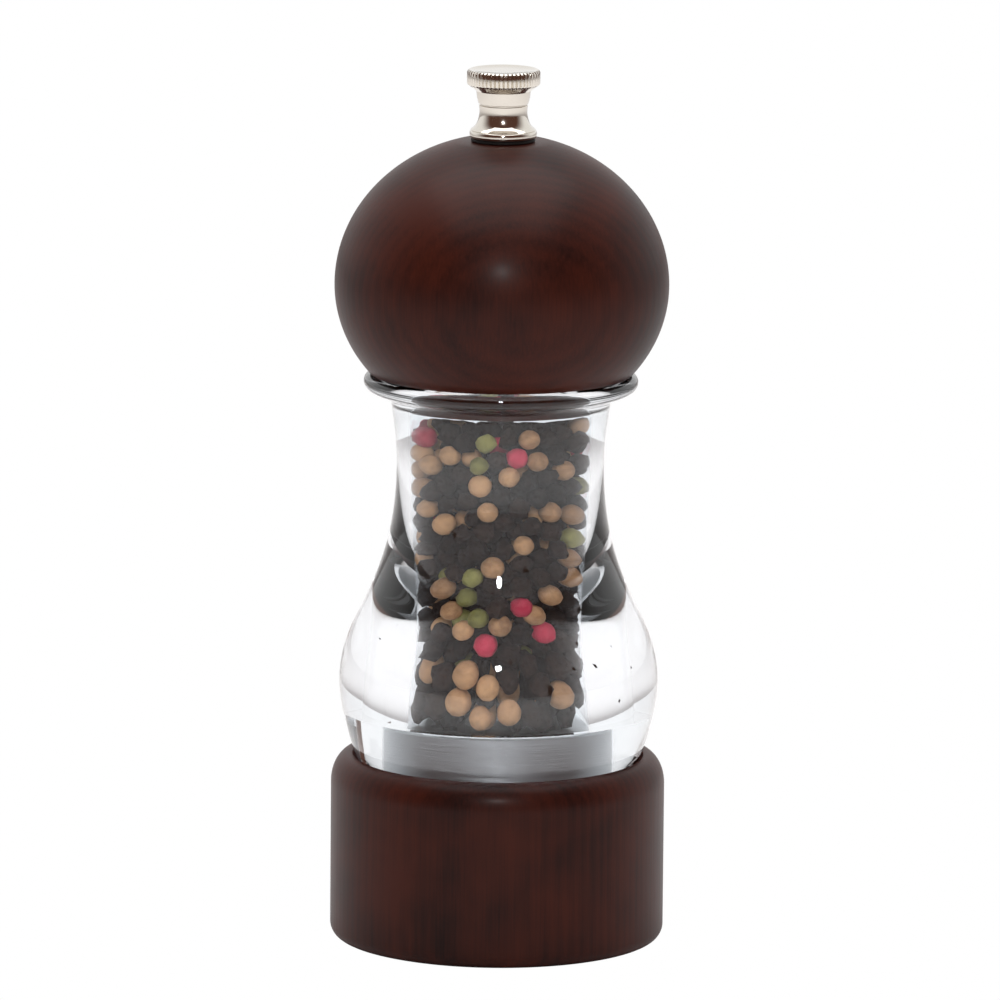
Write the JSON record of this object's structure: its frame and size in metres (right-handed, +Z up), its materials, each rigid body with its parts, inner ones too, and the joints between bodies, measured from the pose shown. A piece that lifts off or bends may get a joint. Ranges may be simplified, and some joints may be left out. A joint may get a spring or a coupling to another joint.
{
  "type": "pepper mill",
  "caption": "Hand pepper mill with a dark turned wooden base and ball head, a clear waisted acrylic body showing the pepper chamber, a grinder below and a bright finial knob on top.",
  "frame": {"origin": "middle of the flat underside of the base, on the mill's axis", "axes": "+Z up along the shaft's axis from base to knob; the square shaft's sides face X and Y"},
  "size_m": [0.0628, 0.0628, 0.1651],
  "materials": {
    "dark_wood": "satin",
    "clear_acrylic": "polished clear",
    "bright_nickel": "bright plated",
    "grinder_steel": "satin",
    "shaft_aluminium": "drawn",
    "black_fibre": "matte",
    "peppercorns": "dry"
  },
  "bodies": {
    "body": {"wooden_base": "dark_wood", "acrylic_body": "clear_acrylic", "grinding_ring": "grinder_steel", "shaft_bridge": "grinder_steel", "retaining_plate": "grinder_steel", "retaining_plate_screw_1": "grinder_steel", "retaining_plate_screw_2": "grinder_steel", "retaining_plate_screw_3": "grinder_steel"},
    "spring_set": {"upper_spring_washer": "grinder_steel", "grinder_spring": "grinder_steel"},
    "shaft": {"drive_shaft": "shaft_aluminium", "grinding_cone": "grinder_steel", "cone_washer": "grinder_steel", "cone_retaining_clip": "grinder_steel"},
    "head": {"wooden_head": "dark_wood", "drive_plate": "grinder_steel", "drive_plate_screw_1": "grinder_steel", "drive_plate_screw_2": "grinder_steel"},
    "knob_seat": {"knob_washer": "black_fibre"},
    "knob": {"finial_knob": "bright_nickel"}
  },
  "joints": [
    {"name": "head_spin", "type": "hinge", "parent": "body", "child": "spring_set", "pos_m": [0, 0, 0], "axis": [0, 0, 1], "continuous": true},
    {"name": "grind_adjust", "type": "slide", "parent": "spring_set", "child": "shaft", "axis": [0, 0, 1], "range_m": [0, 0.0015], "deforming": ["grinder_spring"]},
    {"name": "head_lift", "type": "slide", "parent": "spring_set", "child": "head", "axis": [0, 0, 1], "range_m": [0, 0.065]},
    {"name": "knob_lift", "type": "slide", "parent": "head", "child": "knob_seat", "axis": [0, 0, 1], "range_m": [0, 0.015]},
    {"name": "knob_turn", "type": "hinge", "parent": "knob_seat", "child": "knob", "pos_m": [0, 0, 0], "axis": [0, 0, 1], "range_deg": [-676, 0]}
  ],
  "couplings": [
    {"joint": "knob_turn", "follows": "grind_adjust", "rad_per_m": -7854}
  ]
}
